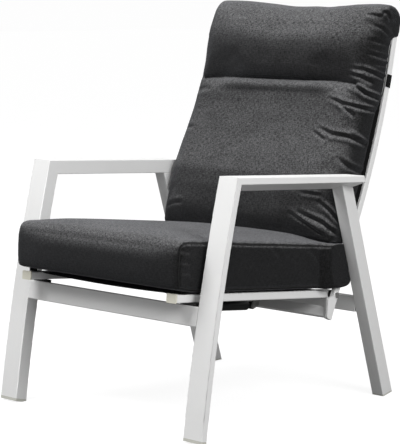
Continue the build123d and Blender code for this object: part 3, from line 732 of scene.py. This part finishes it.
def fill_rear_corners(obj):
    """Swells the cushion beside the posts, and passes a lip outside them, before the rear legs."""
    post_outer, lip_outer = 298.6, 302.2
    for vertex in obj.data.vertices:
        x, y, z = measure(vertex.co)
        level = ease((z - 283) / 14) * ease((434 - z) / 16)
        leg_front = 618.7 - (z - 360) * 0.312
        share = ease((abs(x) - 258) / 24) * ease((y - 520) / 35) * level
        if share <= 0:
            continue
        room = lip_outer + 6.5 * ease((leg_front - 4 - y) / 9)
        out = min(room, abs(x) + 28 * share)
        vertex.co.x = math.copysign(out * MM, x)
        if out > post_outer + 0.2:
            reach = (20 + 34 * ease((356 - z) / 50)) * level
            reach *= ease((y - 525) / 45) * ease((out - post_outer) / 1.6)
            if out > lip_outer + 0.1:
                reach = min(reach, max(0.0, leg_front - 3 - y))
            vertex.co.y += reach * MM


def seat_side_place(p):
    """Place on either side panel of the seat cushion."""
    if abs(p.x) / MM < SEAT_HALF - 7:
        return None
    return measure(p)[1:]


def seat_unroll(centre, normal):
    """The panel that runs up the front and over the top is one piece of cloth."""
    _, y, z = measure(centre)
    if abs(normal.x) > 0.75 or normal.z < -0.4 or y > post_front(z, 12):
        return None
    return lambda p: (p.x, p.z + p.y)


def make_seat_cushion():
    """The seat cushion's cover, swollen between its seams, and the seams' threads."""
    stations, rings = seat_rings()
    obj = new_object("seat_cushion_cover", loft_mesh("seat_cushion_cover", rings, stations), CLOTH)
    remesh(obj, VOXEL)
    ring = shrink(seat_ring(0.0), SEAT_EDGE * 0.7 + SEAT_SHRINK)
    seams = [
        dense([at(sign * (SEAT_HALF - 1.2), *point) for point in ring], closed=True)
        for sign in (-1, 1)
    ]
    distance = near_line(seams[0] + seams[1])

    def held(p):
        _, y, z = measure(p)
        on_rails = 30 < y < 590 and z < rail_top(y) + 12
        at_posts = y > post_front(z, 9) and z < 405
        return 1.0 if distance(p) < SEAM_REACH or on_rails or at_posts else 0.0

    inflate(obj, held, lambda p: 0.006, pressure=2.5, slack=0.0, bend=6.0)
    relax(obj)
    subdivide(obj)
    groove(obj, distance, *SEAM_GROOVE)
    press_creases(obj, SEAT_PUCKERS, seat_side_place)
    fill_rear_corners(obj)
    box_uv(obj, seat_unroll)
    shade_smooth(obj)
    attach(obj, "seat")
    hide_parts("seat_cushion")
    for name, line in zip(("right", "left"), seams):
        rear = [k for k, p in enumerate(line) if measure(p)[1] > 540]
        front_part = (line[rear[-1] + 1:] + line[:rear[0]])[::3]
        seam = thread("seat_seam_" + name, front_part)
        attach(seam, "seat")


# ---------------------------------------------------------------- back cushion
BACK_HALF = 300.5
BACK_SHRINK = 2.0
HOOD_WIDER = 2.0
LOW_CORNER = 10.0
CREASE_Z = 831.0
# depth of the front face near the side edges, and the height of the top's ridge across the chair
FRONT_EDGE = [
    (426, 551), (446, 543), (462, 542), (500, 549), (545, 560), (589, 574), (633, 597),
    (677, 621), (721, 643), (765, 663), (810, 681), (832, 688), (855, 697), (877, 704),
    (900, 708), (923, 712.5), (945, 718), (968, 727), (990, 738), (1013, 749), (1036, 760),
]
TOP_RIDGE = [
    (-298, 1047), (-279, 1049), (-217, 1046), (-157, 1041), (-97, 1036), (-38, 1031), (19, 1029),
    (104, 1029), (132, 1031), (160, 1033.5), (187, 1036), (241, 1038.5), (268, 1039), (298, 1037),
]
# how far the front face swells out in the middle, by height
CROWN = [(426, 4), (470, 8), (800, 9), (832, 16), (870, 27), (960, 28), (1000, 22), (1036, 12)]
# creases of the back's cover: places round the left edge and up, width and depth in millimetres
CREASES = [
    ([(205, 791), (272, 773), (330, 763), (377, 755)], 3.1, 5.0),
    ([(262, 826), (310, 804), (380, 786)], 3.3, 7.0),
    ([(229, 787), (258, 768), (290, 744)], 3.0, 3.6),
    ([(199, 714), (246, 700), (298, 692), (373, 670)], 3.4, 5.5),
    ([(178, 707), (227, 684)], 3.0, 2.4),
    ([(284, 707), (355, 679)], 2.8, 2.6),
    ([(278, 641), (330, 617), (404, 595)], 3.8, 3.4),
    ([(206, 499), (267, 478), (338, 442)], 3.8, 5.0),
    ([(257, 528), (298, 504), (340, 474)], 3.1, 4.0),
    ([(173, 496), (230, 470), (292, 436)], 3.4, 3.6),
    ([(200, 550), (262, 545)], 3.0, 2.2),
    ([(254, 871), (281, 867), (327, 856), (387, 838)], 3.1, 3.8),
    ([(241, 858), (275, 848), (330, 832)], 3.1, 3.6),
    ([(318, 883), (385, 874)], 3.0, 2.0),
    ([(292, 909), (342, 900), (387, 891)], 3.0, 2.2),
    ([(300, 942), (352, 934), (384, 924)], 3.0, 1.7),
    ([(254, 1014), (283, 1008), (318, 1003)], 3.0, 1.7),
    ([(282, 985), (326, 974), (372, 952)], 3.0, 1.8),
    ([(306, 1020), (330, 1012), (352, 996)], 3.0, 2.0),
    ([(-290, 792), (-262, 800), (-228, 803)], 4.1, 1.6),
    ([(-288, 690), (-250, 696)], 4.1, 1.4),
    ([(-286, 474), (-250, 488), (-216, 492)], 4.1, 2.0),
]
CREASE_WIDTH, CREASE_DEPTH = 1.22, 0.72


def front_depth(x, z):
    """Depth of the back cushion's front face: crowned across, with the head roll over a deep crease."""
    share = min(1.0, abs(x) / BACK_HALF)
    depth = lookup(FRONT_EDGE, z) - lookup(CROWN, z) * (1 - share ** 3)
    off = z - CREASE_Z
    reach = 14.0 if off > 0 else 4.5
    open_part = 1 - ease((abs(x) - 175) / 105)
    return depth + (5 + 25 * open_part) * math.exp(-((abs(off) / reach) ** 1.25))


def back_ring(x):
    """Side view of the back cushion at x, each point with its edge: front, top, bottom or rear."""
    share = min(1.0, abs(x) / BACK_HALF)
    sag = 1040.0 - lookup(TOP_RIDGE, x)
    heights = [450 + 8 * k for k in range(43)]
    heights += [796 + 2.6 * k for k in range(26)] + [866 + 6.4 * k for k in range(24)]
    front = [(front_depth(x, z), z) for z in heights]
    last = front[-1]
    lift = -6.0 * share ** 3
    bottom = [
        (post_line(438, -10.2), 438), (post_line(433, -16), 433), (600, 429 + lift),
        (574, 427 + lift), (556, 428 + lift), (front_depth(x, 446) + 2, 437 + lift * 0.5), front[0],
    ]
    top = [
        last, (last[0] + 9, 1024), (last[0] + 24, 1035), (790, 1040), (810, 1038.5), (828, 1030),
        (840, 1016), (post_line(998, 14.4), 998), (post_line(978, 14.2), 978),
        (post_line(958, 14.2), 958), (post_line(951, 12.6), 951), (post_line(949, 1), 949),
        (post_line(944, -9.6), 945),
    ]
    rear = [(post_line(942 - 496 * k / 12, -10.2), 942 - 496 * k / 12) for k in range(13)]
    lines = [
        (smooth_line(bottom, 40), "bottom"), (front, "front"), (smooth_line(top, 84), "top"),
        (smooth_line(rear, 80), "rear"),
    ]
    points, kinds = [], []
    for line, kind in lines:
        points += line
        kinds += [kind] * len(line)
    points = [(y, z - sag * ease((z - 880) / 130)) for y, z in points]
    return points, kinds


def kind_shares(kinds, kind, reach=9):
    """How much of each point belongs to one edge, fading over its neighbours."""
    count = len(kinds)
    flags = [1.0 if k == kind else 0.0 for k in kinds]
    return [
        sum(flags[(index + step) % count] for step in range(-reach, reach + 1)) / (2 * reach + 1)
        for index in range(count)
    ]


def back_rings():
    """The back cushion's places across the chair and its side view at each, rounded at both ends."""
    near, far = 44.0, 27.0
    left = [BACK_HALF - near + near * math.sin(math.pi / 2 * k / 9) for k in range(10)]
    right = [-BACK_HALF + far - far * math.sin(math.pi / 2 * k / 7) for k in reversed(range(8))]
    width = left[0] - right[-1]
    stations = right + [right[-1] + width * k / 28 for k in range(1, 28)] + left
    rings = []
    for x in stations:
        points, kinds = back_ring(x)
        points = shrink(points, BACK_SHRINK)
        front, top = kind_shares(kinds, "front"), kind_shares(kinds, "top", 14)
        bottom, rear = kind_shares(kinds, "bottom"), kind_shares(kinds, "rear", 5)
        run = quarter(x, BACK_HALF, near if x > 0 else far)
        top_run = quarter(x, BACK_HALF, 30.0)
        hood_run = quarter(x, BACK_HALF, 6.0)
        low_run = quarter(x, BACK_HALF, 9.0)
        rear_run = quarter(x, BACK_HALF, 13.0)
        ring = []
        for index, (y, z) in enumerate(points):
            hood = top[index]
            forward = ease((800 - y) / 40)
            y += run * front[index] - rear_run * rear[index]
            y += hood * (top_run * forward - hood_run * (1 - forward))
            z += low_run * bottom[index] - hood_run * hood * ease((z - 985) / 30)
            ring.append((y, z))
        rings.append(ring)
    return stations, rings


def back_place(p):
    """Place on the unrolled front and left side of the back cushion, or nothing at its rear."""
    x, y, z = measure(p)
    if y > post_line(z, -12):
        return None
    if x > 240:
        x += max(0.0, y - lookup(FRONT_EDGE, z) - 4)
    return x, z


def nearest_on(line, x, z):
    """Distance from a line, side of it (above is positive) and share of its length, at a place."""
    lengths = [0.0]
    for a, b in zip(line, line[1:]):
        lengths.append(lengths[-1] + math.dist(a, b))
    best = None
    for k, (a, b) in enumerate(zip(line, line[1:])):
        along = (b[0] - a[0], b[1] - a[1])
        size = math.hypot(*along)
        t = ((x - a[0]) * along[0] + (z - a[1]) * along[1]) / size / size
        t = max(0.0, min(1.0, t))
        q = (a[0] + along[0] * t, a[1] + along[1] * t)
        distance = math.hypot(x - q[0], z - q[1])
        if best is None or distance < best[0]:
            turn = 1 if along[0] > 0 else -1
            above = (z - q[1]) * abs(along[0]) - (x - q[0]) * along[1] * turn
            best = (distance, above, (lengths[k] + size * t) / lengths[-1])
    return best


def press_creases(obj, creases, place):
    """Folds in the cover: a narrow valley under a ridge, fading out at its ends."""
    obj.data.update()
    places = [place(v.co) for v in obj.data.vertices]
    known = [(index, p[0], p[1]) for index, p in enumerate(places) if p]
    moves = {}
    for line, width, depth in creases:
        width *= CREASE_WIDTH
        low_x = min(p[0] for p in line) - width * 5
        high_x = max(p[0] for p in line) + width * 5
        low_z = min(p[1] for p in line) - width * 5
        high_z = max(p[1] for p in line) + width * 5
        for index, x, z in known:
            if not (low_x < x < high_x and low_z < z < high_z):
                continue
            d, above, share = nearest_on(line, x, z)
            fade = min(1.0, 0.15 + share * 3) * min(1.0, 0.3 + (1 - share) * 4)
            ridge, middle = (0.95, 2.1) if above > 0 else (0.35, 2.4)
            wave = ridge * math.exp(-((d - middle * width) / width / 1.3) ** 2)
            wave -= math.exp(-(d / width) ** 2)
            moves[index] = moves.get(index, 0.0) + CREASE_DEPTH * wave * depth * fade
    normals = {index: obj.data.vertices[index].normal.copy() for index in moves}
    for index, move in moves.items():
        obj.data.vertices[index].co += normals[index] * move * MM


def ripple(obj, amount, scale):
    """Broad unevenness before the posts, as stuffing gives."""
    obj.data.update()
    normals = [v.normal.copy() for v in obj.data.vertices]
    for vertex, normal in zip(obj.data.vertices, normals):
        _, y, z = measure(vertex.co)
        if y < post_line(z, -25):
            value = noise.noise(vertex.co * scale) + 0.5 * noise.noise(vertex.co * scale * 2.3)
            vertex.co += normal * value * amount


def side_line(z):
    """How far before the post's centre line the side band of painted shade starts."""
    return -(17.0 + 20.0 * ease((810 - z) / 70))


def back_seam(sign):
    """The side panel's seam, a little before the posts and over the hood's side."""
    x = sign * (BACK_HALF - 2.2)
    side = [(post_line(z, side_line(z) + 1.0), z) for z in range(452, 960, 8)]
    hood = [(post_line(972, -24), 972), (786, 994), (789, 1008), (783, 1017), (772, 1016),
            (764, 1004)]
    return dense([at(x, y, z) for y, z in side + hood])


def back_unroll(centre, normal):
    """Cloth that runs over the front, round both sides and over the top in one piece."""
    _, depth, height = measure(centre)
    if depth > post_line(height, -12) or normal.z < -0.75:
        return None

    def lay(p):
        x, y, z = measure(p)
        edge = lookup(FRONT_EDGE, z)
        if abs(x) > 240:
            round_side = max(0.0, min(y - edge - 4, 120 * ease((1030 - z) / 40)))
            x += math.copysign(round_side, x)
        y = min(y, edge + 8 + 200 * ease((z - 985) / 40))
        return x * MM, (z * 0.75 + y * 0.65) * MM

    return lay


def shape_ends(obj):
    """Widens the hood over the posts, and lets the rear of both lower corners hang."""
    for vertex in obj.data.vertices:
        x, y, z = measure(vertex.co)
        wider = ease((abs(x) - 262) / 30) * ease((z - 944) / 10)
        lower = ease((abs(x) - 245) / 35) * ease((y - post_line(z, -62)) / 30) * ease((482 - z) / 34)
        vertex.co.x += math.copysign(HOOD_WIDER * wider * MM, x)
        vertex.co.z -= LOW_CORNER * lower * MM


def paint_rear_shade(obj):
    """Gives the rear and the side bands before the posts a near-black cloth: painted shade, standing in
    for the shadow where the cushion turns away beside the posts.
    """
    obj.data.materials.append(SHADE_CLOTH)
    for face in obj.data.polygons:
        _, y, z = measure(face.center)
        if z < 952 and y > post_line(z, side_line(z)):
            face.material_index = 1


def make_back_cushion():
    """The back cushion's cover, swollen between its seams, and the seams' threads."""
    stations, rings = back_rings()
    obj = new_object("back_cushion_cover", loft_mesh("back_cushion_cover", rings, stations), CLOTH)
    remesh(obj, VOXEL)
    seams = [back_seam(-1), back_seam(1)]
    channel = dense([
        at(x, front_depth(x, CREASE_Z) + 2, CREASE_Z) for x in range(-270, 271, 6)
    ])
    distance = near_line(seams[0] + seams[1] + channel)

    def held(p):
        _, y, z = measure(p)
        at_posts = y > post_line(z, -18) and z < 958
        return 1.0 if distance(p) < SEAM_REACH or at_posts else 0.0

    def cap(p):
        x, _, z = measure(p)
        if z < 452:
            return 0.002
        return 0.005 if abs(x) > 280 or z > 1000 else 0.008

    inflate(obj, held, cap, pressure=3.0, slack=0.008, bend=1.2)
    relax(obj)
    subdivide(obj)
    shape_ends(obj)
    groove(obj, near_line(channel), 0.0042, 0.0085)
    press_creases(obj, CREASES, back_place)
    ripple(obj, 0.0014, 9.0)
    groove(obj, near_line(seams[0] + seams[1]), *SEAM_GROOVE)
    box_uv(obj, back_unroll)
    shade_smooth(obj)
    paint_rear_shade(obj)
    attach(obj, "back")
    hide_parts("back_cushion")
    for name, line in zip(("right", "left"), seams):
        below = [p for p in line[::3] if measure(p)[2] < 940]
        seam = thread("back_seam_" + name, below)
        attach(seam, "back")


# ---------------------------------------------------------------- slings
SLING_THICKNESS = 0.0018


def make_sheet(name, place, wide, long):
    """A sling's cloth over a grid of places."""
    mesh = bpy.data.meshes.new(name)
    verts = [place(i / wide, j / long) for i in range(wide + 1) for j in range(long + 1)]
    faces = []
    for i in range(wide):
        for j in range(long):
            a = i * (long + 1) + j
            faces.append((a, a + long + 1, a + long + 2, a + 1))
    mesh.from_pydata(verts, [], faces)
    obj = new_object(name, mesh, SLING)
    mod = obj.modifiers.new("thickness", "SOLIDIFY")
    mod.thickness = SLING_THICKNESS
    mod.offset = 0.0
    apply_modifiers(obj)
    box_uv(obj)
    shade_smooth(obj)
    return obj


def make_seat_sling():
    """Cloth between the rails, with a little sag."""
    def place(u, v):
        y = 48.8 + 505 * v
        sag = 5.0 * (1 - (2 * u - 1) ** 2)
        return at(-246 + 492 * u, y, rail_middle(y) + 8.0 - sag)

    obj = make_sheet("seat_sling_cloth", place, 40, 50)
    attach(obj, "seat")
    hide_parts("seat_sling")


def make_back_sling():
    """Cloth between the posts, from above the pivots to under the top tube."""
    low = PIVOT[1] + 16 * math.cos(LOW_LEAN) + 1
    high = 958.0

    def place(u, v):
        z = low + (high - low) * v
        return at(-282.8 + 565.6 * u, post_line(z, 0.0), z)

    obj = make_sheet("back_sling_cloth", place, 40, 60)
    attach(obj, "back")
    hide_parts("back_sling")


make_seat_cushion()
make_back_cushion()
make_seat_sling()
make_back_sling()
